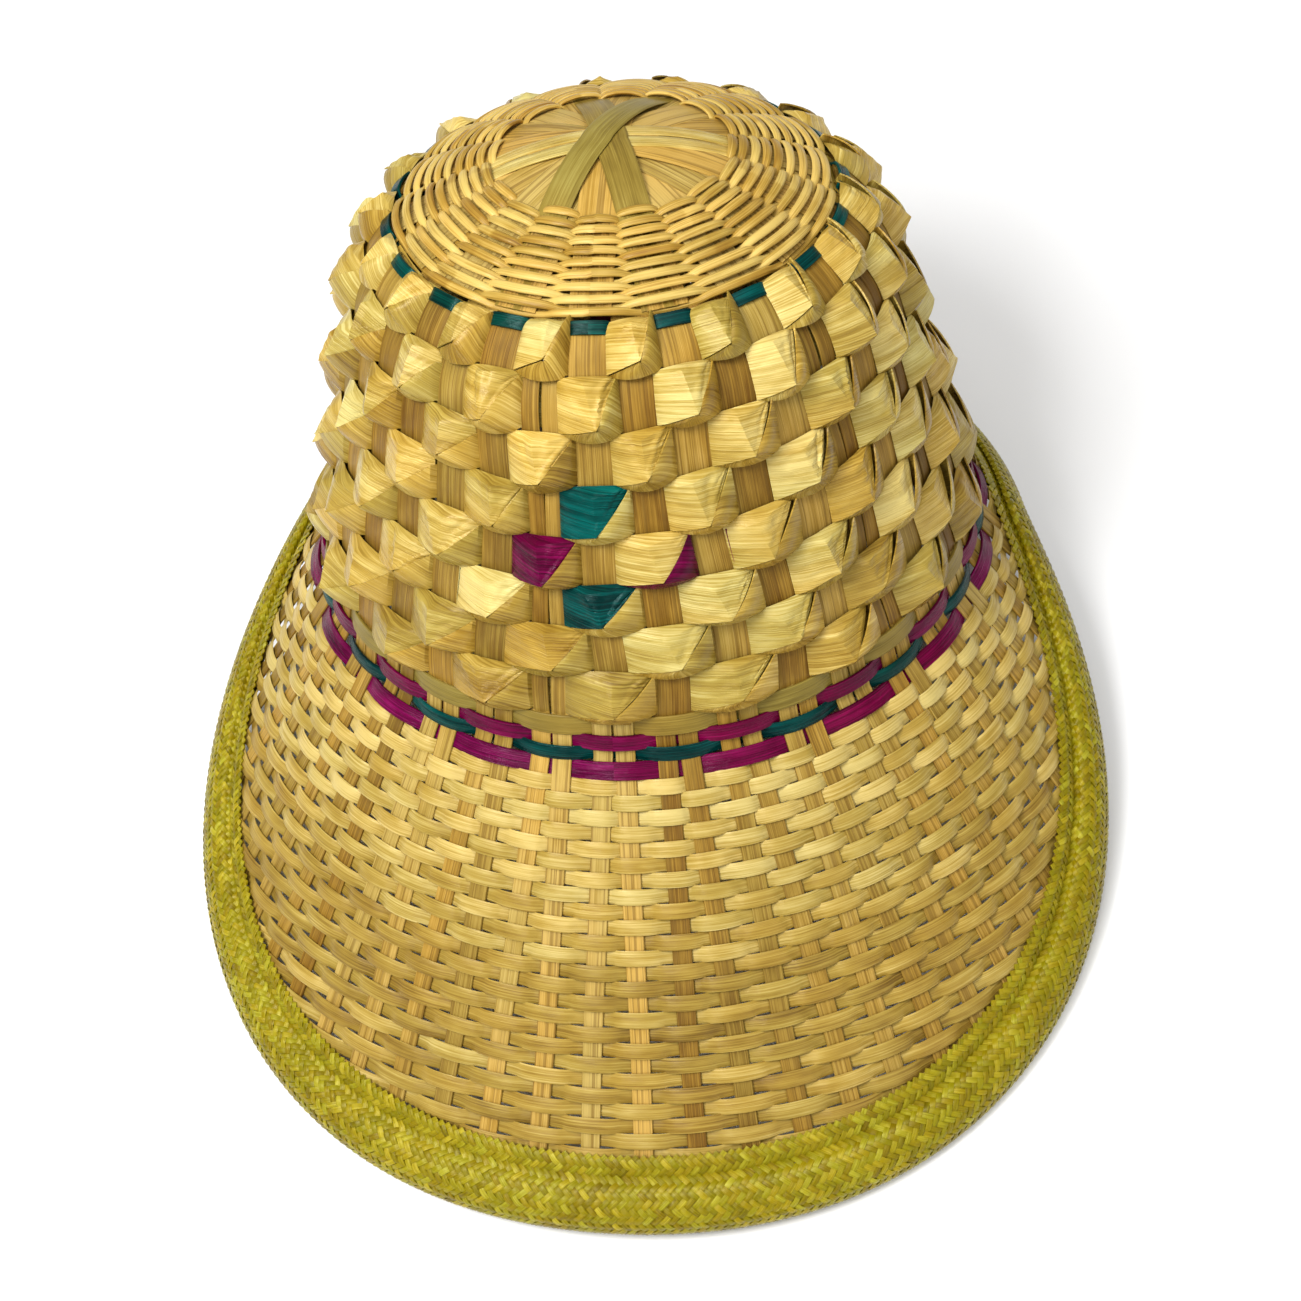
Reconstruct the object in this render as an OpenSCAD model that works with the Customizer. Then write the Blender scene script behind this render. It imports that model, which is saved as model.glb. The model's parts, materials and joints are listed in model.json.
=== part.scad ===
// Woven splint sun hat: a round crown covered in folded pyramid knots, a domed
// woven lid, and a wide front peak bound with braided straw tape. Every piece is
// drawn about the crown's own axis, with the front towards -Y, and the whole hat
// is then leaned back until it stands on the tape, as it would on a table.

/* [Crown] */
// Radius of the line where the crown meets the brim
base_r = 94; // [86:0.5:102]
// Height of the straight part of the crown wall
wall_h = 84; // [70:1:95]
// How far the wall leans inward over that height
wall_lean = 24.5; // [20:0.5:28]
// Radius of the shoulder curve above the wall
shoulder_r = 37.3; // [34:0.1:40]
// Angle that the shoulder turns through
shoulder_turn = 36.4; // [30:0.1:40]
// Rise of the domed lid above the lid's edge
lid_rise = 15; // [8:0.5:16]

/* [Splints] */
// Number of upright splints round the crown
stakes = 36; // [32:4:40]
// Thickness of a splint
splint_t = 1.0; // [0.8:0.1:1.2]
// Width of an upright splint at the brim
stake_w = 10.8; // [9:0.1:11.5]
// Width of a half splint in the brim
half_w = 5.0; // [4:0.1:5.4]
// Width of a lid splint
lid_splint_w = 9.6; // [9:0.1:9.8]
// Clear gap between the splints and the rows woven outside them
weave_gap = 0.25; // [0.2:0.05:0.4]

/* [Rows] */
// Rows of folded knots round the crown
knot_rows = 8; // [7:1:8]
// Distance between rows of knots
knot_pitch = 12.4; // [12:0.1:12.5]
// Distance from the crown's base to the middle of the lowest row of knots
knot_first = 19.3; // [18.5:0.1:19.5]
// Height that a knot stands off the crown
knot_h = 6.5; // [5:0.5:8]
// Round weavers in the lid
lid_rows = 18; // [16:2:18]
// Diameter of a round weaver
lid_weaver_d = 1.3; // [1.1:0.1:1.3]
// Radius of the opening inside the lid's rows
lid_open_r = 29; // [28:0.5:30]
// Rows of flat weavers in the brim
brim_rows = 26; // [24:1:26]
// Distance between brim rows
brim_pitch = 4.03; // [4:0.01:4.05]
// Distance from the crown to the middle of the first brim row
brim_first = 8.3; // [8:0.1:9]
// Width of a flat weaver
weaver_w = 3.6; // [3:0.1:3.8]

/* [Peak] */
// Slope of the brim below the level of the crown's base
brim_slope = 50; // [45:1:52]
// Length of the weave in front, from the crown to the tape
peak_l = 104.5; // [95:0.5:108]
// Length of the weave behind
back_l = 6; // [5:0.5:7]
// Angle from the front where the peak has died away
peak_end = 100; // [98:1:104]

/* [Tape] */
// Width of the braided tape in front
tape_front = 21.3; // [19:0.1:23]
// Width of the braided tape behind
tape_back = 16; // [15:0.5:18]
// Length that the tape folds under the brim
tape_under = 13; // [11:0.5:14]
// Diameter of the reed inside the fold
reed_d = 2.4; // [2:0.1:2.5]

/* [Hidden] */
$fn = 96;
wall_a = atan(wall_h / wall_lean);
wall_l = wall_h / sin(wall_a);
shoulder_l = shoulder_r * shoulder_turn * PI / 180;
crown_l = wall_l + shoulder_l;
shoulder_cr = base_r - wall_lean - shoulder_r * sin(wall_a);
shoulder_cz = wall_h - shoulder_r * cos(wall_a);
lid_r = shoulder_cr + shoulder_r * sin(wall_a - shoulder_turn);
lid_z = shoulder_cz + shoulder_r * cos(wall_a - shoulder_turn);
dome_r = (lid_r * lid_r + lid_rise * lid_rise) / (2 * lid_rise);
dome_cz = lid_z + lid_rise - dome_r;
step = 360 / stakes;

// Colours of the natural straw, the dyed strips and the tape
straw = [0.86, 0.73, 0.44];
splint_tan = [0.80, 0.66, 0.41];
olive = [0.62, 0.54, 0.27];
teal = [0.0, 0.42, 0.38];
magenta = [0.55, 0.02, 0.36];
tape_green = [0.66, 0.60, 0.08];

// A point on the crown, t up from the base along the surface and n out from it,
// as [radius, height]
function crown_point(t, n) =
    let (a = t < wall_l ? wall_a : wall_a - (t - wall_l) / shoulder_r * 180 / PI)
    t < wall_l
    ? [base_r - t * cos(a) + n * sin(a), t * sin(a) + n * cos(a)]
    : [shoulder_cr + (shoulder_r + n) * sin(a), shoulder_cz + (shoulder_r + n) * cos(a)];

// A point on the lid's dome at radius r and n above it
function lid_point(r, n) =
    let (a = asin(r / dome_r)) [(dome_r + n) * sin(a), dome_cz + (dome_r + n) * cos(a)];

// A point on the brim, s out from the crown and n above the surface
function brim_point(s, n) =
    [base_r + s * cos(brim_slope) + n * sin(brim_slope), -s * sin(brim_slope) + n * cos(brim_slope)];

// Length of the brim's weave at angle a from the front
function from_front(a) = abs((a + 540) % 360 - 180);
function peak_length(a) =
    back_l + (peak_l - back_l) * (1 + cos(180 * pow(min(from_front(a), peak_end) / peak_end, 1.5))) / 2;

// Half angle over which the brim reaches a length s
function peak_reach(s) =
    let (c = 2 * (s - back_l) / (peak_l - back_l) - 1)
    c <= -1 ? 180 : c >= 1 ? 0 : peak_end * pow(acos(c) / 180, 1 / 1.5);

// Turns a [radius, height] pair to angle a from the front, +X to the right
function turned(p, a) = [p[0] * sin(a), -p[0] * cos(a), p[1]];

// Width of the tape at angle a from the front
function tape_width(a) = (tape_front + tape_back) / 2 + (tape_front - tape_back) / 2 * cos(a);

// A point of the tape at angle a, u out from its inner edge and n off the brim,
// measured square to the edge of the peak
function tape_point(a, u, n) =
    let (s = peak_length(a),
         r = brim_point(s, 0)[0],
         ds = (peak_length(a + 0.5) - peak_length(a - 0.5)) * 180 / PI,
         l = sqrt(r * r + ds * ds),
         turn = -u * ds / l / r * 180 / PI)
    turned(brim_point(s + u * r / l, n), a + turn);

// Outline of the folded tape's section at angle a, as [u, n] pairs
function tape_section(a) =
    let (w = tape_width(a))
    [[0, 1.5], [0, 2.9], [w - 2.4, 3.3], [w - 0.5, 2.0], [w, 0], [w - 0.5, -2.0], [w - 2.4, -3.3],
     [w - tape_under, -2.9], [w - tape_under, -1.5], [w - 2.6, -1.5], [w - 2.6, 1.5]];

// Outline of the reed inside the fold at angle a, as [u, n] pairs
function reed_section(a) =
    let (u = tape_width(a) - 2.8 - reed_d / 2)
    [for (i = [0:7]) [u + reed_d / 2 * sin(i * 45), reed_d / 2 * cos(i * 45)]];

// Points round the folded tape, and the lean that brings the lowest of them in
// front level with the lowest behind
tape_turns = [for (i = [0:71]) i * 5];
tape_points = [for (a = tape_turns, p = tape_section(a)) tape_point(a, p[0], p[1])];
function leaned_z(p, lean) = p[2] * cos(lean) - p[1] * sin(lean);
function lowest(points, lean) = min([for (p = points) leaned_z(p, lean)]);
function level_lean(low, high, tries) =
    let (mid = (low + high) / 2,
         front = lowest([for (p = tape_points) if (p[1] < 0) p], mid),
         back = lowest([for (p = tape_points) if (p[1] > 0) p], mid))
    tries == 0 ? mid : front < back ? level_lean(mid, high, tries - 1) : level_lean(low, mid, tries - 1);
lean = level_lean(0, 45, 24);
seat_z = -lowest(tape_points, lean);
front_y = min([for (p = tape_points) p[1] * cos(lean) + p[2] * sin(lean)]);
back_y = max([for (p = tape_points) p[1] * cos(lean) + p[2] * sin(lean)]);
seat_y = -(front_y + back_y) / 2;

// Leans the hat back so that it stands on its tape
module seated() {
    translate([0, seat_y, seat_z]) rotate([-lean, 0, 0]) children();
}

// A closed solid through rings of points, each ring with the same count
module loft_loop(rings) {
    m = len(rings[0]);
    n = len(rings);
    polyhedron([for (ring = rings, p = ring) p],
               [for (i = [0:n - 1], j = [0:m - 1])
                [i * m + j, i * m + (j + 1) % m, (i + 1) % n * m + (j + 1) % m, (i + 1) % n * m + j]],
               convexity = 6);
}

// A flat strip whose side view follows a list of [radius, height] points, with
// its width across them, facing angle a from the front
module side_strip(outline, width, a) {
    rotate([0, 0, a]) rotate([90, 0, -90]) linear_extrude(height = width, center = true) polygon(outline);
}

// Side view of a strip of thickness t whose middle line is given by points at
// n above and below a surface
function strip_outline(lower, upper) = concat(lower, [for (i = [len(upper) - 1:-1:0]) upper[i]]);

// A band between two distances along the brim
module brim_band(s0, s1, n0, n1, half) {
    rotate([0, 0, -90 - half])
        rotate_extrude(angle = 2 * half)
            polygon([brim_point(s0, n0), brim_point(s1, n0), brim_point(s1, n1), brim_point(s0, n1)]);
}

// A band between two distances up the crown
module crown_band(t0, t1, n0, n1) {
    rotate_extrude()
        polygon([crown_point(t0, n0), crown_point(t1, n0), crown_point(t1, n1), crown_point(t0, n1)]);
}

// The splints inside the lid: a shallow cap where they cross, and their ends,
// which run out from it to the lid's edge at every second crown splint
lid_cap_r = 27;
lid_turns = [for (i = [0:6]) i / 6];
module lid_splints() {
    color(splint_tan) {
        rotate_extrude()
            polygon(strip_outline(
                [for (f = lid_turns) lid_point(f * lid_cap_r, -2 * splint_t)],
                [for (f = lid_turns) lid_point(f * lid_cap_r, -0.2)]));
        for (i = [0:stakes / 2 - 1])
            side_strip(strip_outline(
                [for (f = lid_turns) lid_point(lid_cap_r - 1 + f * (lid_r - lid_cap_r), -splint_t - 0.2)],
                [for (f = lid_turns) lid_point(lid_cap_r - 1 + f * (lid_r - lid_cap_r), -0.2)]),
                lid_splint_w, 2 * i * step);
    }
}

// A splint laid right across the lid's open middle, n above the other splints
cross_l = lid_open_r - 0.3;
module cross_splint(width, n, a) {
    side_strip(strip_outline(
        [for (f = lid_turns) let (r = (2 * f - 1) * cross_l) lid_point(r, n)],
        [for (f = lid_turns) let (r = (2 * f - 1) * cross_l) lid_point(r, n + splint_t)]), width, a);
}
module cross_splint_left() { color(olive) cross_splint(7, 2.1, -28); }
module cross_splint_right() { color(olive) cross_splint(8, 1.05, 17); }
module cross_splint_pair() {
    color(straw)
        for (side = [-1, 1]) rotate([0, 0, 90]) translate([side * 3, 0, 0]) cross_splint(4.6, 0, 0);
}

// Two neighbouring rows of the lid's round weavers, which pass over opposite
// splints; the rows share out the space between the open middle and the lid's edge
lid_row_pitch = (lid_r - 2 - lid_open_r) / lid_rows;
module lid_pair(i) {
    color(straw)
        for (row = [2 * i - 1, 2 * i])
            rotate_extrude()
                translate(lid_point(lid_open_r + (row - 0.5) * lid_row_pitch, weave_gap + lid_weaver_d / 2))
                    circle(d = lid_weaver_d, $fn = 32);
}

// The dyed strip woven round the lid's edge
module lid_edge_row() { color(teal) crown_band(crown_l - 3.2, crown_l - 0.2, weave_gap, weave_gap + 0.8); }

// The upright splints, bent over the shoulder and trimmed where they crowd
// together at the lid
shoulder_turns = [for (i = [0:6]) wall_l + i / 6 * (shoulder_l - 0.4)];
stake_turns = concat([1.2], shoulder_turns);
trim_r = 150;
trim_w = trim_r * tan(step / 2 - 0.4);
module crown_stakes() {
    color(splint_tan)
        for (i = [0:stakes - 1])
            intersection() {
                side_strip(strip_outline([for (t = stake_turns) crown_point(t, -splint_t)],
                                         [for (t = stake_turns) crown_point(t, 0)]), stake_w, i * step);
                rotate([0, 0, i * step - 90]) linear_extrude(height = 140)
                    polygon([[0, 0], [trim_r, -trim_w], [trim_r, trim_w]]);
            }
}

// Puts a piece flat on the crown at angle a, t up from the base and n out, with
// its own y up the wall and its z outward
module on_crown(t, a, n) {
    p = crown_point(t, n);
    slope = t < wall_l ? wall_a : wall_a - (t - wall_l) / shoulder_r * 180 / PI;
    rotate([0, 0, a]) translate([0, -p[0], p[1]]) rotate([slope, 0, 0]) children();
}

// A folded knot: a strip creased up into a four-sided point that leans downward
knot_size = knot_pitch - 0.2;
module knot(w) {
    polyhedron([[-w / 2, -knot_size / 2, 0], [w / 2, -knot_size / 2, 0],
                [w / 2, knot_size / 2, 0], [-w / 2, knot_size / 2, 0], [0, -knot_size / 8, knot_h]],
               [[0, 1, 2, 3], [1, 0, 4], [2, 1, 4], [3, 2, 4], [0, 3, 4]]);
}

// Row i of knots counts down from the lid. A row's knots cover every second
// splint, and between them its strip passes behind the splint.
function knot_t(i) = knot_first + (knot_rows - i) * knot_pitch;
function knot_w(i) = 2 * crown_point(knot_t(i), 0)[0] * step * PI / 180 - stake_w - 0.8;
knot_w_min = 9.5;
strip_w = stake_w + 1.4;
strip_t = 0.8;
strip_gap = 0.5;
module knot_at(i, k) { on_crown(knot_t(i), k * step, weave_gap + 0.1) knot(max(knot_w(i), knot_w_min)); }
module strip_at(i, k) {
    r = crown_point(knot_t(i), -splint_t)[0];
    w = min(strip_w, 3.2 * r * tan(step / 2));
    on_crown(knot_t(i), k * step, -splint_t - strip_gap - strip_t)
        translate([-w / 2, -knot_size / 2 + 0.3, 0]) cube([w, knot_size - 0.6, strip_t]);
}

// Splints where dyed knots take the place of plain ones, as [row, splint]
teal_places = [[4, 0], [6, 0]];
magenta_places = [[5, -1], [5, 1]];
function plain(i, k) =
    len([for (p = concat(teal_places, magenta_places)) if (p[0] == i && (p[1] + stakes) % stakes == k) p]) == 0;
module knot_row(i) {
    color(straw)
        for (k = [0:stakes - 1])
            if ((k + i) % 2 == 0) {
                if (plain(i, k)) knot_at(i, k);
            } else strip_at(i, k);
}
module teal_knots() { color(teal) for (p = teal_places) knot_at(p[0], p[1]); }
module magenta_knots() { color(magenta) for (p = magenta_places) knot_at(p[0], p[1]); }

// The plain hoop below the knots, and the three dyed strips where crown and brim
// meet
dyed_t = 0.9;
module band_hoop() { color(olive) crown_band(7.6, 12.2, weave_gap, weave_gap + dyed_t); }
module band_row_upper() { color(magenta) crown_band(2.6, 6.2, weave_gap, weave_gap + dyed_t); }
module band_row_teal() {
    color(teal)
        rotate_extrude()
            polygon([brim_point(1.7, 0.6), brim_point(1.7, 0.6 + dyed_t), brim_point(-0.2, 1.1 + dyed_t),
                     crown_point(2.2, weave_gap + dyed_t), crown_point(2.2, weave_gap)]);
}
module band_row_lower() { color(magenta) brim_band(2.4, 6.0, weave_gap, weave_gap + dyed_t, 180); }

// The half splints of the brim, which end at the reed inside the tape
module brim_stakes() {
    color(splint_tan)
        for (i = [0:2 * stakes - 1]) {
            a = (i + 0.5) * step / 2;
            end = peak_length(a) + tape_back - 8;
            rotate([0, 0, a]) translate([0, -base_r, 0]) rotate([brim_slope, 0, 0])
                translate([-half_w / 2, -end, -splint_t]) cube([half_w, end - 1.5, splint_t]);
        }
}

// Row i of the brim counts down from the crown and runs as far round as the peak
// reaches, with its ends tucked under the tape
tuck = 6;
module brim_row(i) {
    s = brim_first + (i - 1) * brim_pitch;
    half = peak_reach(s - tuck);
    color(straw) brim_band(s - weaver_w / 2, s + weaver_w / 2, weave_gap, weave_gap + 0.9, half);
}

// The reed that stiffens the edge, and the braided tape folded over it
module edge_reed() {
    color(splint_tan) loft_loop([for (a = tape_turns) [for (p = reed_section(a)) tape_point(a, p[0], p[1])]]);
}
module edge_tape() {
    color(tape_green) loft_loop([for (a = tape_turns) [for (p = tape_section(a)) tape_point(a, p[0], p[1])]]);
}

seated() {
    lid_splints();
    cross_splint_left();
    cross_splint_right();
    cross_splint_pair();
    for (i = [1:lid_rows / 2])
        lid_pair(i);
    lid_edge_row();
    crown_stakes();
    for (i = [1:knot_rows])
        knot_row(i);
    teal_knots();
    magenta_knots();
    band_hoop();
    band_row_upper();
    band_row_teal();
    band_row_lower();
    brim_stakes();
    for (i = [1:brim_rows])
        brim_row(i);
    edge_reed();
    edge_tape();
}
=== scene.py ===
"""A woven splint sun hat: the looks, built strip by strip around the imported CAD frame.

Every strip is drawn in millimetres in the crown's own frame, with the crown's axis on Z
and the front towards -Y, as the CAD source draws it. make_piece() turns a net of strips
into a mesh in metres and leans it back with the rest of the hat.
"""

import json
import math

import bpy
import numpy as np
from mathutils import Matrix, Vector


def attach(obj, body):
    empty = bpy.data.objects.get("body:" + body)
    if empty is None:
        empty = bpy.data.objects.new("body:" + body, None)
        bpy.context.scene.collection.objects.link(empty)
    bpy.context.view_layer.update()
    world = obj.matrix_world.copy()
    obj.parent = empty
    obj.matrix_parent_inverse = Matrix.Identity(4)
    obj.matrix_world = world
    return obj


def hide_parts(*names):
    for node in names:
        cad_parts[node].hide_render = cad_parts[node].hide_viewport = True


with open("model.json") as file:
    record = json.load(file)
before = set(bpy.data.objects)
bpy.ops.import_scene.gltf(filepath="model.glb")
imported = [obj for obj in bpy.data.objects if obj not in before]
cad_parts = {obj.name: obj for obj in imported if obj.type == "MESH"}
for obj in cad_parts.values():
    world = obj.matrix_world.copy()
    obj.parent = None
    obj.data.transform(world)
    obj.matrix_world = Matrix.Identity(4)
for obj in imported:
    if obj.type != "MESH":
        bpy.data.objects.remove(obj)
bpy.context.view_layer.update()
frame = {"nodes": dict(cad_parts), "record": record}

# ---------------------------------------------------------------- sizes, in millimetres

# Crown: a leaning wall, a rounded shoulder and a shallow dome for its lid
BASE_R = 94.0
WALL_H = 84.0
WALL_LEAN = 24.5
SHOULDER_R = 37.3
SHOULDER_TURN = math.radians(36.4)
LID_RISE = 15.0

# Upright splints, and the half splints of the brim
STAKES = 36
STEP = 360.0 / STAKES
STAKE_W = 9.5
HALF_W = 5.0
SPLINT_T = 0.8

# Knots: rows from the top down, and a knot's half height and how far its tip stands out
KNOT_ROWS = 8
KNOT_PITCH = 12.4
KNOT_FIRST = 19.3
KNOT_HALF = KNOT_PITCH / 2 - 0.15
KNOT_OUT = 6.5

# Lid: thin rows round an open middle
LID_ROWS = 18
LID_OPEN_R = 29.0
LID_SPLINT_W = 10.0

# Brim: a cone, long at the peak in front, whose rows and splints run on into the tape
BRIM_ROWS = 26
BRIM_PITCH = 4.03
BRIM_FIRST = 8.3
BRIM_SLOPE = math.radians(50.0)
PEAK_L = 104.5
BACK_L = 6.0
PEAK_END = 100.0

# Edge tape: its width in front and behind, its strands and how far they weave
TAPE_FRONT = 21.2
TAPE_BACK = 14.8
STRANDS = 392
TAPE_WAVE = 0.32
ROW_TUCK = 6.0
STAKE_TUCK = TAPE_BACK - 8

# Heights off the surface: of splints that lie in it and of rows that pass behind them
LAID = -0.55
BEHIND = -1.5

WALL_A = math.atan2(WALL_H, WALL_LEAN)
WALL_L = math.hypot(WALL_H, WALL_LEAN)
CROWN_L = WALL_L + SHOULDER_R * SHOULDER_TURN
SHOULDER_CR = BASE_R - WALL_LEAN - SHOULDER_R * math.sin(WALL_A)
SHOULDER_CZ = WALL_H - SHOULDER_R * math.cos(WALL_A)
LID_R = SHOULDER_CR + SHOULDER_R * math.sin(WALL_A - SHOULDER_TURN)
LID_Z = SHOULDER_CZ + SHOULDER_R * math.cos(WALL_A - SHOULDER_TURN)
DOME_R = (LID_R**2 + LID_RISE**2) / (2 * LID_RISE)
DOME_CZ = LID_Z + LID_RISE - DOME_R
DOME_EDGE = math.asin(LID_R / DOME_R)

# The hat's place and lean come from the head opening's mount
OPENING = next(m for m in frame["record"]["mounts"] if m["name"] == "head_opening")
LEAN = math.atan2(-OPENING["axis"][1], -OPENING["axis"][2])
SEAT = Matrix.Translation(Vector(OPENING["pos_m"])) @ Matrix.Rotation(-LEAN, 4, "X")
MM = 0.001

rng = np.random.default_rng(7)


# ---------------------------------------------------------------- surfaces

def polar(r, z, a):
    """Points at radius r and height z, a degrees round from the front towards +X"""
    r, z, a = np.broadcast_arrays(r, z, np.radians(a))
    return np.stack([r * np.sin(a), -r * np.cos(a), z], -1)


def slope_at(d):
    """Tilt of the surface's normal from straight up, d along the hat: the brim is
    below 0, the crown runs from 0 to CROWN_L, and the lid lies beyond"""
    wall = WALL_A - np.clip(d - WALL_L, 0, CROWN_L - WALL_L) / SHOULDER_R
    dome = DOME_EDGE - (d - CROWN_L) / DOME_R
    return np.where(d < 0, BRIM_SLOPE, np.where(d <= CROWN_L, wall, dome))


# How far the front of the hat has slid: distance along the hat, and the slide, in mm
FRONT_SLIDE = (
    (0, 0), (9, -1.3), (20, -1.9), (55, -1.5), (75, 0),
    (CROWN_L - 8, 1.4), (CROWN_L, 3.2), (CROWN_L + 30, 1.0))


def drift(d, a):
    """How far hand weaving has let the crown's splints and rows wander: mm along the
    hat and degrees round it"""
    turn = np.radians(a)
    free = np.clip((d - 12) / 14, 0, 1) * np.clip((CROWN_L - 4 - d) / 14, 0, 1)
    along = (0.45 * np.sin(4 * turn + d / 15) + 0.35 * np.sin(7 * turn - d / 21 + 3)
             + 0.3 * np.sin(13 * turn + d / 9))
    around = (0.5 * np.sin(3 * turn + d / 23) + 0.4 * np.sin(5 * turn - d / 13 + 2)
              + 0.3 * np.sin(11 * turn + d / 11))
    front = ((1 + np.cos(turn)) / 2) ** 2
    slide = np.interp(d, *zip(*FRONT_SLIDE))
    return along * free + slide * front, around * free


def hat(d, a, n=0.0):
    """A point of the hat, d along it from the base ring, a degrees round and n out"""
    d, a, n = np.broadcast_arrays(np.asarray(d, float), np.asarray(a, float), np.asarray(n, float))
    along, around = drift(d, a)
    d, a = d + along, a + around
    tilt = slope_at(d)
    wall_r = BASE_R - d * math.cos(WALL_A)
    wall_z = d * math.sin(WALL_A)
    brim_r = BASE_R - d * math.cos(BRIM_SLOPE)
    brim_z = d * math.sin(BRIM_SLOPE)
    bend_r = SHOULDER_CR + SHOULDER_R * np.sin(tilt)
    bend_z = SHOULDER_CZ + SHOULDER_R * np.cos(tilt)
    lid_r = DOME_R * np.sin(tilt)
    lid_z = DOME_CZ + DOME_R * np.cos(tilt)
    where = [d < 0, d < WALL_L, d <= CROWN_L]
    r = np.select(where, [brim_r, wall_r, bend_r], lid_r)
    z = np.select(where, [brim_z, wall_z, bend_z], lid_z)
    return polar(r + n * np.sin(tilt), z + n * np.cos(tilt), a)


def hat_out(d, a):
    """The outward normal there"""
    tilt = slope_at(np.asarray(d, float))
    return polar(np.sin(tilt), np.cos(tilt), a)


def ring_radius(d):
    """Radius of the hat's surface at d, measured at the front"""
    point = hat(d, 0.0)
    return np.hypot(point[..., 0], point[..., 1])


def lid_d(r):
    """Distance along the hat of the lid's circle of radius r"""
    return CROWN_L + (DOME_EDGE - np.arcsin(np.asarray(r, float) / DOME_R)) * DOME_R


def from_front(a):
    """Degrees between the angle a and the front, from 0 to 180"""
    return np.abs((np.asarray(a, float) + 540) % 360 - 180)


def peak_length(a):
    """Length of the brim at the angle a, from the base ring to the tape"""
    turn = (np.minimum(from_front(a), PEAK_END) / PEAK_END) ** 1.5
    return BACK_L + (PEAK_L - BACK_L) * (1 + np.cos(math.pi * turn)) / 2


def peak_reach(s):
    """Half angle over which the brim reaches a length s"""
    c = 2 * (s - BACK_L) / (PEAK_L - BACK_L) - 1
    if c <= -1:
        return 180.0
    return 0.0 if c >= 1 else PEAK_END * (math.acos(c) / math.pi) ** (1 / 1.5)


def tape_width(a):
    """Width of the tape at the angle a, from its inner edge to its outer fold"""
    return (TAPE_FRONT + TAPE_BACK) / 2 + (TAPE_FRONT - TAPE_BACK) / 2 * np.cos(np.radians(a))


def tape_point(a, u, n):
    """A point of the tape, u out from its inner edge and n off the brim, square to
    the edge of the peak"""
    a, u, n = np.broadcast_arrays(np.asarray(a, float), u, n)
    s = peak_length(a)
    r = BASE_R + s * math.cos(BRIM_SLOPE)
    ds = (peak_length(a + 0.5) - peak_length(a - 0.5)) * 180 / math.pi
    length = np.hypot(r, ds)
    return hat(-(s + u * r / length), a + np.degrees(-u * ds / length / r), n)


# ---------------------------------------------------------------- nets of strips

# Half sections of a splint: across it in half widths, and up in thicknesses
FLAT = ((-1, 0.25), (-0.93, 0.48), (0, 0.5), (0.93, 0.48), (1, 0.25))
SOFT = ((-1, 0.1), (-0.75, 0.38), (0, 0.5), (0.75, 0.38), (1, 0.1))
ROUND = ((-1, 0.04), (-0.8, 0.3), (-0.45, 0.46), (0, 0.5), (0.45, 0.46), (0.8, 0.3), (1, 0.04))
BROAD = ((-1, 0.15), (-0.92, 0.4), (-0.5, 0.49), (0, 0.5), (0.5, 0.49), (0.92, 0.4), (1, 0.15))
STRAND = ((-1, 0.1), (0, 0.5), (1, 0.1))


def unit(v):
    """The vectors v at length 1"""
    return v / np.maximum(np.linalg.norm(v, axis=-1, keepdims=True), 1e-9)


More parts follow.
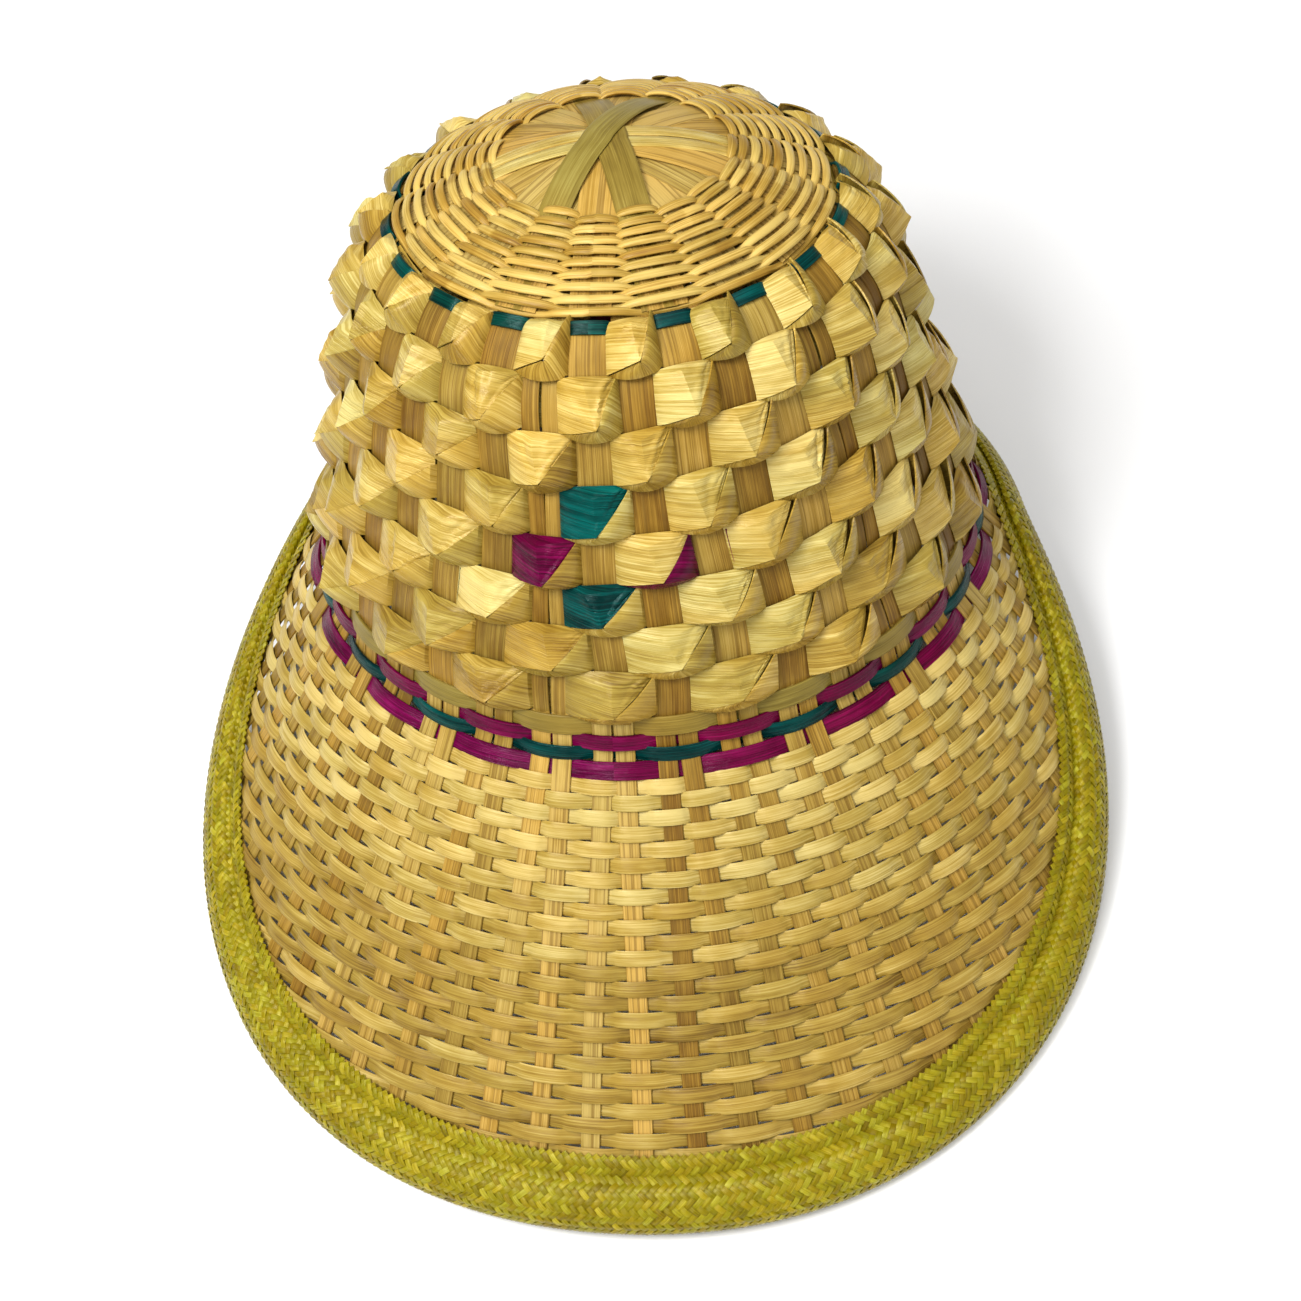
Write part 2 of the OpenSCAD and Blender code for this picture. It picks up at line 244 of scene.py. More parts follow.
class Net:
    """The strips of one piece: points in millimetres, quads, the fibre UV in
    millimetres, and each strip's own tone from 0 to 1"""

    def __init__(self):
        self.points, self.quads, self.uvs, self.tones = [], [], [], []
        self.count = 0

    def rings(self, points, uv, tone, loop=False):
        """A closed skin through rings of points; uv has a ring more when it loops"""
        n, k = points.shape[:2]
        turns = n if loop else n - 1
        i = np.arange(turns)[:, None]
        j = np.arange(k)[None, :]
        i2, j2 = (i + 1) % n, (j + 1) % k
        quads = np.stack([i * k + j, i * k + j2, i2 * k + j2, i2 * k + j], -1).reshape(-1, 4)
        j2 = np.broadcast_to(j2, (turns, k))
        jj = np.broadcast_to(j, (turns, k))
        ii = np.broadcast_to(i, (turns, k))
        corner = np.stack([uv[ii, jj], uv[ii, j2], uv[ii + 1, j2], uv[ii + 1, jj]], -2).reshape(-1, 4, 2)
        if not loop:
            m = np.arange(k // 2 - 1)
            cap = np.stack([m, m + 1, k - 2 - m, k - 1 - m], -1)
            last = (n - 1) * k
            quads = np.concatenate([quads, cap[:, ::-1], cap + last])
            corner = np.concatenate([corner, uv[0][cap[:, ::-1]], uv[n - 1][cap]])
        self.points.append(points.reshape(-1, 3))
        self.quads.append(quads + self.count)
        self.uvs.append(corner)
        self.tones.append(np.broadcast_to(np.asarray(tone, float).reshape(-1, 1), (n, k)).reshape(-1))
        self.count += n * k

    def strip(self, centre, out, half_w, thick, tone, section=FLAT, loop=False):
        """A splint along a centre line, with its flat side facing out"""
        n = len(centre)
        if loop:
            along = np.roll(centre, -1, 0) - np.roll(centre, 1, 0)
        else:
            along = np.gradient(centre, axis=0)
        along = unit(along)
        across = unit(np.cross(along, out))
        up = unit(np.cross(across, along))
        x, z = np.array(section, float).T
        x = np.concatenate([x, x[::-1]])
        z = np.concatenate([z, -z[::-1]])
        half_w = np.broadcast_to(np.asarray(half_w, float), (n,))
        thick = np.broadcast_to(np.asarray(thick, float), (n,))
        points = (centre[:, None] + across[:, None] * (half_w[:, None] * x)[..., None]
                  + up[:, None] * (thick[:, None] * z)[..., None])
        steps = np.linalg.norm(np.diff(centre, axis=0, append=centre[:1]), axis=1)
        length = np.concatenate([[0], np.cumsum(steps)])[: n + 1 if loop else n]
        start = rng.uniform(0, 4000, 2)
        width = half_w[np.arange(len(length)) % n]
        fibre_u = start[0] + width[:, None] * x
        fibre_v = np.broadcast_to((start[1] + length)[:, None], fibre_u.shape)
        self.rings(points, np.stack([fibre_u, fibre_v], -1), tone, loop)

    def lay(self, d, a, n, half_w, thick, tone, section=FLAT, loop=False):
        """A splint on the hat, along the points (d, a, n)"""
        self.strip(hat(d, a, n), hat_out(d, a), half_w, thick, tone, section, loop)

    def sheet(self, grid, uv, thick, tone):
        """A sheet of splint through a grid of points (rows, columns)"""
        down = np.gradient(grid, axis=0)
        right = np.gradient(grid, axis=1)
        normal = unit(np.cross(right, down)) * (thick / 2)
        points = np.concatenate([grid + normal, (grid - normal)[:, ::-1]], 1)
        self.rings(points, np.concatenate([uv, uv[:, ::-1]], 1), tone)


def make_piece(name, net, material, slot, *replaced, crease=40):
    """One mesh object from a net, in metres and leaned back with the hat"""
    points = np.concatenate(net.points) * MM
    quads = np.concatenate(net.quads).astype(np.int32)
    mesh = bpy.data.meshes.new(name)
    mesh.vertices.add(len(points))
    mesh.vertices.foreach_set("co", points.astype(np.float32).ravel())
    mesh.loops.add(quads.size)
    mesh.loops.foreach_set("vertex_index", quads.ravel())
    mesh.polygons.add(len(quads))
    mesh.polygons.foreach_set("loop_start", np.arange(len(quads), dtype=np.int32) * 4)
    mesh.update(calc_edges=True)
    fibre = mesh.uv_layers.new(name="fibre")
    fibre.data.foreach_set("uv", np.concatenate(net.uvs).astype(np.float32).ravel())
    tone = mesh.attributes.new("tone", "FLOAT", "POINT")
    tone.data.foreach_set("value", np.concatenate(net.tones).astype(np.float32))
    mesh.polygons.foreach_set("use_smooth", np.ones(len(quads), bool))
    mesh.set_sharp_from_angle(angle=math.radians(crease))
    mesh.transform(SEAT)
    mesh.materials.append(material)
    piece = bpy.data.objects.new(name, mesh)
    bpy.context.scene.collection.objects.link(piece)
    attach(piece, "root")
    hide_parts(*replaced)


# ---------------------------------------------------------------- materials

def node(tree, kind, inputs=None, **settings):
    """One shader node: settings are its own, and inputs fill its sockets"""
    made = tree.nodes.new(kind)
    for key, value in settings.items():
        setattr(made, key, value)
    for key, value in (inputs or {}).items():
        if isinstance(value, bpy.types.NodeSocket):
            tree.links.new(value, made.inputs[key])
        else:
            made.inputs[key].default_value = value
    return made


def maths(tree, operation, *inputs):
    """The result of one maths node"""
    return node(tree, "ShaderNodeMath", dict(enumerate(inputs)), operation=operation).outputs[0]


def mix(tree, factor, one, two, blend):
    """The colour `one` with the colour `two` blended over it"""
    made = node(tree, "ShaderNodeMix", {"Factor": factor, 6: one, 7: two},
                data_type="RGBA", blend_type=blend)
    return made.outputs[2]


def ramp(tree, factor, stops):
    """A colour ramp; a stop is its place and its colour"""
    made = node(tree, "ShaderNodeValToRGB", {"Fac": factor})
    band = made.color_ramp
    while len(band.elements) < len(stops):
        band.elements.new(0.5)
    for element, (place, colour) in zip(band.elements, stops):
        element.position = place
        element.color = (*colour, 1)
    return made.outputs["Color"]


def streaks(tree, fibre, across, along, detail=3.0):
    """Noise drawn out along the fibres: across and along are its sizes in mm"""
    stretched = node(tree, "ShaderNodeVectorMath",
                     {0: fibre, 1: (1 / across, 1 / along, 1)}, operation="MULTIPLY")
    noise = node(tree, "ShaderNodeTexNoise",
                 {"Vector": stretched.outputs[0], "Scale": 1.0, "Detail": detail, "Roughness": 0.6},
                 noise_dimensions="2D")
    return noise.outputs["Fac"]


def splint_material(name, stops, rough=0.42, coat=0.15, fine=0.38, relief=0.12, spread=0.9,
                    stripe=None, shine=0.35, crinkle=0.0, glint=(1.0, 0.86, 0.55), hue=1.0):
    """Split bamboo: fibres along the strip, broad streaks, each strip its own tone.
    spread is how far the tones lie apart, fine the fibres' width and relief their
    height in mm, stripe a darker colour, and hue how far the colour itself wanders"""
    material = bpy.data.materials.new(name)
    material.use_nodes = True
    tree = material.node_tree
    shader = tree.nodes["Principled BSDF"]
    fibre = node(tree, "ShaderNodeUVMap", uv_map="fibre").outputs["UV"]
    tone = node(tree, "ShaderNodeAttribute", attribute_name="tone").outputs["Fac"]
    lines = streaks(tree, fibre, fine, 30)
    broad = streaks(tree, fibre, 2.2, 60, 2.0)
    blotch = streaks(tree, fibre, 6.0, 14, 2.0)
    texture = maths(tree, "ADD", maths(tree, "MULTIPLY_ADD", lines, 0.75, -0.375),
                    maths(tree, "MULTIPLY_ADD", broad, 0.35, -0.175))
    patch = maths(tree, "ADD", maths(tree, "MULTIPLY_ADD", blotch, 0.4, -0.2),
                  maths(tree, "MULTIPLY_ADD", tone, spread, 0.5 - spread / 2))
    colour = ramp(tree, maths(tree, "ADD", texture, patch), stops)
    warmth = ramp(tree, streaks(tree, fibre, 40, 90, 1.0), (
        (0.38, (1 - 0.07 * hue, 1.0, 1 + 0.06 * hue)),
        (0.50, (1.0, 1.0, 1.0)),
        (0.64, (1 + 0.05 * hue, 1 - 0.02 * hue, 1 - 0.16 * hue))))
    colour = mix(tree, 1.0, colour, warmth, "MULTIPLY")
    if stripe:
        mask = ramp(tree, streaks(tree, fibre, 0.9, 120, 1.0), ((0.54, (0, 0, 0)), (0.62, (1, 1, 1))))
        colour = mix(tree, maths(tree, "MULTIPLY", mask, 0.55), colour, (*stripe, 1), "MIX")
    tree.links.new(colour, shader.inputs["Base Color"])
    gloss = maths(tree, "MULTIPLY_ADD", broad, 0.25, rough - 0.125)
    tree.links.new(gloss, shader.inputs["Roughness"])
    height = maths(tree, "ADD", lines, broad)
    if crinkle:
        dents = streaks(tree, fibre, 1.6, 4.5, 2.0)
        height = maths(tree, "ADD", height, maths(tree, "MULTIPLY", dents, crinkle))
    bump = node(tree, "ShaderNodeBump", {"Height": height, "Strength": 0.8, "Distance": relief * MM})
    tree.links.new(bump.outputs["Normal"], shader.inputs["Normal"])
    shader.inputs["Specular IOR Level"].default_value = shine
    shader.inputs["Specular Tint"].default_value = (*glint, 1)
    shader.inputs["Coat Weight"].default_value = coat
    shader.inputs["Coat Roughness"].default_value = 0.3
    return material


STRAW = splint_material(
    "straw_gold",
    ((0.15, (0.16, 0.085, 0.009)), (0.35, (0.30, 0.185, 0.024)),
     (0.55, (0.45, 0.305, 0.055)), (0.82, (0.72, 0.575, 0.20))),
    rough=0.3, coat=0.1, fine=0.26, relief=0.15, crinkle=2.0, spread=0.7)
WEAVER = splint_material(
    "weaver_gold",
    ((0.15, (0.16, 0.085, 0.012)), (0.35, (0.29, 0.178, 0.026)),
     (0.55, (0.40, 0.268, 0.048)), (0.82, (0.60, 0.455, 0.148))),
    rough=0.36, coat=0.08, crinkle=1.5, hue=0.4)
LID_WEAVER = splint_material(
    "lid_gold",
    ((0.15, (0.15, 0.065, 0.008)), (0.35, (0.28, 0.145, 0.017)),
     (0.55, (0.41, 0.245, 0.036)), (0.82, (0.66, 0.46, 0.12))),
    rough=0.36, fine=0.3, hue=0.5)
SPLINT = splint_material(
    "splint_tan",
    ((0.15, (0.14, 0.067, 0.009)), (0.35, (0.26, 0.150, 0.022)),
     (0.55, (0.38, 0.234, 0.042)), (0.82, (0.55, 0.366, 0.098))),
    rough=0.5, coat=0.0, fine=0.3, shine=0.25, stripe=(0.17, 0.09, 0.015))
OLIVE = splint_material(
    "splint_olive",
    ((0.15, (0.10, 0.063, 0.008)), (0.40, (0.19, 0.126, 0.017)),
     (0.60, (0.27, 0.187, 0.030)), (0.85, (0.37, 0.275, 0.06))),
    rough=0.45, coat=0.05)
TEAL = splint_material(
    "dyed_teal",
    ((0.25, (0.0, 0.003, 0.003)), (0.42, (0.0, 0.018, 0.016)),
     (0.58, (0.0, 0.043, 0.036)), (0.82, (0.0, 0.11, 0.093))),
    rough=0.27, coat=0.0, fine=0.3, shine=0.16, glint=(0.6, 1.0, 0.95), crinkle=2.0)
MAGENTA = splint_material(
    "dyed_magenta",
    ((0.25, (0.035, 0.0, 0.009)), (0.44, (0.085, 0.0, 0.024)),
     (0.58, (0.14, 0.0, 0.041)), (0.82, (0.29, 0.004, 0.10))),
    rough=0.27, coat=0.0, fine=0.3, shine=0.16, glint=(1.0, 0.7, 0.9), crinkle=2.0)
TAPE = splint_material(
    "braid_green",
    ((0.12, (0.12, 0.080, 0.0)), (0.35, (0.20, 0.15, 0.0)),
     (0.60, (0.28, 0.22, 0.002)), (0.92, (0.47, 0.40, 0.03))),
    rough=0.34, coat=0.05, fine=0.25, spread=0.7, glint=(1.0, 0.95, 0.45))


# ---------------------------------------------------------------- the crown's upright splints

def stake_sink(d, k):
    """How far a crown stake lies in where a knot covers it; it bows out by as much
    where a row passes behind it"""
    return 0.35 * np.cos(math.pi * ((d - KNOT_FIRST) / KNOT_PITCH + k)) * (d > 8) * (d < CROWN_L)


def stake_room(d):
    """Half width of a crown stake at d, where its neighbours leave it less room"""
    room = ring_radius(d) * math.tan(math.radians(STEP / 2)) - 0.25
    return np.minimum(STAKE_W / 2, room)


def crown_stakes():
    """The upright splints, about a third of them split in two down the middle; the
    odd ones run on under the lid's edge"""
    net = Net()
    for k in range(STAKES):
        odd = k % 2
        d = np.linspace(10.5, CROWN_L + 6.5 * odd, 60)
        n = -0.5 - stake_sink(d, k)
        n = n - 0.9 * np.clip((d - CROWN_L + 3) / 3, 0, 1) * odd
        half = stake_room(d)
        tone = rng.uniform(0.15, 0.62)
        if rng.random() < 0.35:
            for side in (-1, 1):
                a = k * STEP + np.degrees(side * (half / 2 + 0.12) / ring_radius(d))
                net.lay(d, a, n, half / 2 - 0.1, SPLINT_T, tone + rng.uniform(-0.15, 0.15), BROAD)
        else:
            net.lay(d, k * STEP, n, half, SPLINT_T, tone, BROAD)
    make_piece("crown_stakes_woven", net, SPLINT, "splint", "crown_stakes")


def half_angle(s):
    """Angle of a half splint from its pair's middle, s out along the brim"""
    return 1.75 + 0.75 * np.clip(np.asarray(s, float) / 75, 0, 1)


def brim_stakes():
    """The pairs of half splints that run down from the band and out into the tape"""
    net = Net()
    for k in range(STAKES):
        tone = rng.uniform(0.3, 0.72)
        for side in (-1, 1):
            end = peak_length((k + 0.25 * side) * STEP) + STAKE_TUCK
            outside = np.linspace(0, -end, max(8, int(end / 2.2)))
            d = np.concatenate([np.linspace(13, 0.8, 8), outside])
            n = np.where(d > 0, LAID, -0.5)
            a = k * STEP + side * half_angle(-d)
            half = np.minimum(HALF_W / 2, np.radians(half_angle(-d)) * BASE_R - 0.15)
            net.lay(d, a, n, half, SPLINT_T, tone + rng.uniform(-0.12, 0.12))
    make_piece("brim_stakes_split", net, SPLINT, "splint", "brim_stakes")


# ---------------------------------------------------------------- knots

def on_crown(t, a, x, y, z):
    """Points of a knot at (t, a): x round the crown, y up it and z out"""
    return hat(t + y, a + np.degrees(x / ring_radius(t)), z)


def knot_t(i):
    """Distance of knot row i up the crown; row 1 is the top one"""
    return KNOT_FIRST + (KNOT_ROWS - i) * KNOT_PITCH


def knot_size(t):
    """Half width of a knot at t, between the edges of its neighbouring splints"""
    return ring_radius(t) * math.radians(STEP) - stake_room(t)


def knot_shape(i, k):
    """Where a knot's ridge and tip lie, as parts of its size or in millimetres, and
    how far its folds gape, swell and crease. Knots lean and open with the side of the
    hat: side is 1 on the right, towards +X, and -1 on the left"""
    local = np.random.default_rng(1000 + 40 * i + k % STAKES)
    side = math.sin(math.radians(k * STEP))
    return {
        "half": knot_size(knot_t(i)),
        "tip_x": local.uniform(0.02, 0.3) - 0.3 * max(side, 0) + 0.1 * min(side, 0),
        "tip_y": local.uniform(-0.74, -0.48),
        "ridge_x": local.uniform(-0.3, 0.0) - 0.15 * max(side, 0),
        "tip_z": KNOT_OUT * local.uniform(0.80, 1.08) * (1 - 0.06 * side) * (0.78 if i == 1 else 1),
        "ridge_z": local.uniform(0.5, 0.66),
        "fold": local.uniform(0.0, 0.12) if side > -0.4 else local.uniform(0.1, 0.7),
        "gape": local.uniform(0.7, 1.9) + 1.1 * max(side, 0),
        "brace": 0.6 + 0.9 * max(side, 0),
        "swell": local.uniform(0.3, 0.95) - 0.25 * max(side, 0),
        "wrinkle": local.uniform(0, 6.28, 4),
        "rumple": local.uniform(0.5, 1.05),
        "bevel": local.uniform(0.1, 0.22),
        # The two lowest rows take a lower tone: painted shade for the darker lower part of the wall
        "tone": local.uniform(0.46, 0.82) - 0.09 * max(i - 6, 0),
        # The lower fold's tone lies below the upper fold's: painted shade on the knot's underside
        "shaded_under_tone": local.uniform(0.2, 0.6),
    }


def creases(c, v, seeds):
    """Sharp folds that fan out from a knot's tip, at c = 0.5 and v = 1, up its face"""
    height = 0.0
    for lean, seed in zip((-1.05, -0.62, -0.2, 0.35), seeds):
        angle = lean + 0.2 * math.sin(5 * seed)
        aside = (c - 0.5) * math.cos(angle) - (v - 1.03) * math.sin(angle)
        fold = np.maximum(1 - np.abs(aside) / (0.05 + 0.03 * math.cos(3 * seed) + 0.06 * (1 - v)), 0)
        height = height + fold * math.cos(seed) * (0.35 + 0.65 * (1 - v))
    return height + 0.12 * np.sin(21 * v + seeds[1] + 5 * c) * np.sin(7 * c + seeds[2])


def knot_main(net, i, k, dye):
    """The upper fold of a knot: up from the left splint to the ridge and tip, then
    down to the fold that runs from the tip to the right splint's upper corner. dye
    darkens its tone"""
    s = knot_shape(i, k)
    t, w, h = knot_t(i), s["half"], KNOT_HALF
    left, right, rows = 13, 12, 17
    peak = h - 1.7 if i == 1 else h
    tip = np.array([s["tip_x"] * w, s["tip_y"] * h, s["tip_z"]])
    crest = np.array([s["ridge_x"] * w, peak, s["tip_z"] * s["ridge_z"]])
    top = [np.array([[-w - 2.2, peak, -1.6], [-w + 0.4, peak, -0.7]])]
    end = [np.array([[-w - 2.2, -h, -1.6], [-w + 0.4, -h, -0.7]])]
    f = np.linspace(0, 1, left)[:, None]
    top.append((1 - f) * np.array([-w - 0.5, peak, 0.5]) + f * crest)
    end.append((1 - f) * np.array([-w - 0.5, -h * 0.96, 0.5]) + f * tip)
    f = np.linspace(0, 1, right)[1:, None]
    corner = np.array([0.96 * w, peak, 0.1])
    fold = np.array([w, h * (0.98 - s["fold"]), 0.1])
    top.append((1 - f) * crest + f * corner)
    end.append((1 - f) * tip + f * fold)
    top, end = np.concatenate(top), np.concatenate(end)
    v = np.linspace(0, 1, rows)[:, None, None]
    grid = (1 - v) * top[None] + v * end[None]
    ridge = left + 1
    v = v[..., 0]
    c = np.interp(np.arange(grid.shape[1]), (0, 2, ridge, grid.shape[1] - 1), (0, 0, 0.5, 1))[None, :]
    swell = s["swell"] * np.sin(math.pi * np.clip(2 * c, 0, 1) ** 0.62) * (0.35 + 0.65 * v)
    swell += 0.3 * np.sin(math.pi * np.clip(2 * c - 1, 0, 1)) * (1 - 0.7 * v)
    free = np.sin(math.pi * c) ** 0.5
    grid[..., 2] += swell + s["rumple"] * free * creases(c, v, s["wrinkle"])
    shut = np.clip(v / s["bevel"], 0, 1)
    grid[..., 2] = 0.3 + (grid[..., 2] - 0.3) * (0.2 + 0.8 * shut)
    arch = np.sin(math.pi * np.clip((grid[..., 0] + w) / (2 * w), 0, 1))
    grid[..., 1] += 0.5 * arch * (1 - v)
    x, y, z = np.moveaxis(grid, -1, 0)
    points = on_crown(t, k * STEP, x, y, z)
    start = rng.uniform(0, 4000, 2)
    uv = start + np.stack([y + 0.1 * x, x], -1)
    net.sheet(points, uv, 0.35, s["tone"] - dye)


def knot_under(net, i, k):
    """The lower fold of a knot: a fan from its tip to the right splint and along the
    bottom, where it stands off the splint below"""
    s = knot_shape(i, k)
    t, w, h = knot_t(i), s["half"], KNOT_HALF
    tip = np.array([s["tip_x"] * w, s["tip_y"] * h - 0.2, s["tip_z"] - 0.5])
    side, bottom, spokes = 7, 15, 8
    f = np.linspace(0, 1, side)[:, None]
    upper = np.array([w - 0.2, h * (1 - 0.8 * s["fold"]), s["gape"]])
    right = (1 - f) * upper + f * np.array([w - 0.1, -h * 0.92, s["brace"]])
    right[:, 2] += 0.5 * np.sin(math.pi * f[:, 0])
    f = np.linspace(0, 1, bottom)[1:, None]
    base = (1 - f) * np.array([w + 0.1, -h, s["brace"] - 0.3]) + f * np.array([-w - 0.3, -h, 0.2])
    bow = np.sin(math.pi * f[:, 0])
    base[:, 1] -= 1.1 * bow
    base[:, 2] += 2.0 * bow
    rim = np.concatenate([right, base])
    tuck = rim.copy()
    tuck[:side, 2] = -0.7
    tuck[:side, 0] += 0.7
    tuck[side:, 1] += 0.3
    tuck[side:, 2] -= 0.5
    f = np.linspace(0.04, 1, spokes)[:, None, None]
    grid = (1 - f) * tip + f * rim[None]
    f = f[..., 0]
    c = np.linspace(0, 1, len(rim))[None, :]
    grid[..., 2] += 0.8 * np.sin(math.pi * f) * np.sin(math.pi * np.clip(c / 0.45, 0, 1))
    grid[..., 2] += 0.6 * np.sin(math.pi * f) * np.clip(1 - c / 0.2, 0, 1)
    grid[..., 2] += s["swell"] * np.sin(math.pi * (1 - f) ** 0.62) * np.clip((c - 0.7) / 0.3, 0, 1)
    grid[..., 2] += 0.18 * np.sin(math.pi * f) * np.sin(14 * c + s["wrinkle"][3])
    grid = np.concatenate([grid, tuck[None]])
    points = on_crown(t, k * STEP, *np.moveaxis(grid, -1, 0))
    start = rng.uniform(0, 4000, 2)
    f = np.linspace(0, 1, len(grid))[:, None]
    uv = np.stack([start[0] + (c - 0.5) * (6 + 14 * f), start[1] + f * w + 0 * c], -1)
    # The lower fold's darker tone is painted shade
    net.sheet(points[:, ::-1], uv[:, ::-1], 0.4, s["shaded_under_tone"])


def strip_behind(net, i, k):
    """The part of a row that passes behind a splint, seen from inside"""
    t = knot_t(i)
    half = min(math.degrees((STAKE_W / 2 + 4.0) / ring_radius(t)), STEP * 0.92)
    a = np.linspace(-half, half, 15)
    dip = np.maximum(np.cos(math.pi / 2 * a / half), 0)
    n = -0.9 - 1.1 * dip**0.6
    net.lay(np.full_like(a, t), k * STEP + a, n, KNOT_PITCH / 2 - 0.25, 0.5, rng.uniform(0.2, 0.7), BROAD)


def sliver(net, i, k):
    """The dyed end of a strip that shows beside the left edge of a knot"""
    t = knot_t(i)
    y = np.linspace(-4.4, 4.4, 9)
    x = np.full(9, 0.5 - knot_size(t))
    centre = on_crown(t, k * STEP, x, y, 0.75 + 0 * y)
    net.strip(centre, hat_out(t + y, k * STEP + 0 * y), 0.75, 0.4, 0.5)


# Dyed parts of the knots, by row and by place round from the front
DYED_UPPER = {(4, 0): "teal", (6, 0): "teal", (5, -1): "magenta"}
DYED_UNDER = {(5, 1): "magenta"}
DYED_SLIVER = {5: (3, "magenta"), 6: (-2, "teal")}
DYE_DEPTH = 0.13


def knots():
    """The rows of folded knots, with the strips behind the splints between them"""
    dyed = {"teal": Net(), "magenta": Net()}
    for i in range(1, KNOT_ROWS + 1):
        net = Net()
        for k in range(-STAKES // 2, STAKES // 2):
            if (k + i) % 2:
                strip_behind(net, i, k)
                continue
            dye = DYE_DEPTH if (i, k) in DYED_UPPER else 0.0
            knot_main(dyed.get(DYED_UPPER.get((i, k)), net), i, k, dye)
            knot_under(dyed.get(DYED_UNDER.get((i, k)), net), i, k)
        if i in DYED_SLIVER:
            k, colour = DYED_SLIVER[i]
            sliver(dyed[colour], i, k)
        make_piece(f"knot_row_{i}_folded", net, STRAW, "straw", f"knot_row_{i}", crease=32)
    make_piece("teal_knots_folded", dyed["teal"], TEAL, "teal", "teal_knots", crease=32)
    make_piece("magenta_knots_folded", dyed["magenta"], MAGENTA, "magenta", "magenta_knots", crease=32)


# ---------------------------------------------------------------- woven rows

def woven(over, height, dip, flat=0.6):
    """Height of a row above the surface, where over is 1 on a splint that the row
    covers and -1 on one that it passes behind"""
    wave = np.sign(over) * np.abs(over) ** flat
    return (height + dip) / 2 + wave * (height - dip) / 2


def ring_turn(period, samples):
    """Angles of the points of a closed row, with `samples` to each period"""
    count = int(round(360 / period)) * samples
    return np.arange(count) * 360 / count


def ring_row(net, d, covers, period, half_w, thick, height, tone, dip=BEHIND, samples=12, section=FLAT,
             swell=0.0, flat=0.6):
    """A closed row at d that covers the splint at angle `covers` and every one a
    whole period away, and passes behind those between"""
    a = ring_turn(period, samples)
    over = np.cos(np.radians((a - covers) * 360 / period))
    n = woven(over, height, dip, flat)
    net.lay(d + 0 * a, a, n, half_w + swell * over, thick, tone, section, loop=True)


def bands():
    """The plain hoop and the three dyed rows where crown and brim meet; the lowest is
    narrower where the brim is short and the tape covers its edge"""
    net = Net()
    ring_row(net, 9.7, STEP, 2 * STEP, 2.75, 0.8, 0.5, 0.5)
    make_piece("band_hoop_woven", net, OLIVE, "olive", "band_hoop")
    net = Net()
    ring_row(net, 4.5, 0, 2 * STEP, 2.2, 0.8, 0.6, 0.5)
    make_piece("band_upper_woven", net, MAGENTA, "magenta", "band_row_upper")
    net = Net()
    ring_row(net, 0.3, STEP, 2 * STEP, 2.05, 0.9, 0.9, 0.5, dip=-1.6, section=SOFT)
    make_piece("band_teal_woven", net, TEAL, "teal", "band_row_teal")
    net = Net()
    narrow = np.clip((16 - peak_length(ring_turn(2 * STEP, 12))) / 6, 0, 1)
    ring_row(net, -4.0 + 0.35 * narrow, 0, 2 * STEP, 2.4 - 0.75 * narrow, 0.8, 0.6, 0.5)
    make_piece("band_lower_woven", net, MAGENTA, "magenta", "band_row_lower")


def brim_wave(a, s, i):
    """Cosine of a brim row's place between the half splints that it covers"""
    near = np.round(a / STEP)
    off = a - near * STEP
    half = half_angle(s)
    inside = 0.5 * off / half
    outside = np.sign(off) * (0.5 + 0.5 * (np.abs(off) - half) / (STEP / 2 - half))
    place = 2 * near + np.where(np.abs(off) <= half, inside, outside)
    return np.cos(math.pi * (place - 0.5)) * (-1) ** i


def waver(a, count):
    """A random wander round the hat, from -1 to 1, drawn at `count` angles"""
    return np.interp(a, np.linspace(-180, 180, count), rng.uniform(-1, 1, count))


def brim_rows():
    """The rows of the peak, painted lighter near the crown for the brighter light and highlights there;
    the first is a closed ring
    """
    for i in range(1, BRIM_ROWS + 1):
        s = BRIM_FIRST + (i - 1) * BRIM_PITCH
        reach = peak_reach(s - ROW_TUCK)
        closed = reach >= 180
        if closed:
            a = np.arange(-180, 180, 0.5)
        else:
            a = np.arange(-reach, reach + 0.01, 0.625 if s < 40 else 0.5)
        over = brim_wave(a, s, i)
        # Rows near the crown take a higher tone: painted light for the brighter light and highlights
        # there; the random wander is the strips' own tone
        tone = 0.77 - 0.32 * np.clip((i - 1) / 14, 0, 1) + rng.uniform(-0.08, 0.08)
        tone = tone + 0.12 * waver(a, 40)
        d = -(s + 0.18 * waver(a, 60))
        net = Net()
        net.lay(d, a, woven(over, 0.6, -1.35), 2.02 + 0.07 * over, 0.62, tone, SOFT, loop=closed)
        make_piece(f"brim_row_{i}_woven", net, WEAVER, "straw", f"brim_row_{i}")


# ---------------------------------------------------------------- the lid

def lid_splint(net, angle, layer, width, bend=0.0, tone=0.5, shift=0.0, ends=LID_R - 1.5):
    """A splint right across the lid, facing angle from the front; layer lifts its
    middle, bend bows it sideways and shift moves it sideways"""
    x = np.linspace(-ends, ends, 57)
    aside = shift + bend * (1 - (x / LID_OPEN_R) ** 2) * np.exp(-(x / 40) ** 4)
    r = np.hypot(x, aside)
    a = angle + np.degrees(np.arctan2(aside, x))
    n = LAID + layer * np.clip(1 - (r / (LID_OPEN_R + 3)) ** 2, 0, 1)
    net.lay(lid_d(np.minimum(r, LID_R)), a, n, width / 2, 0.6, tone, BROAD)


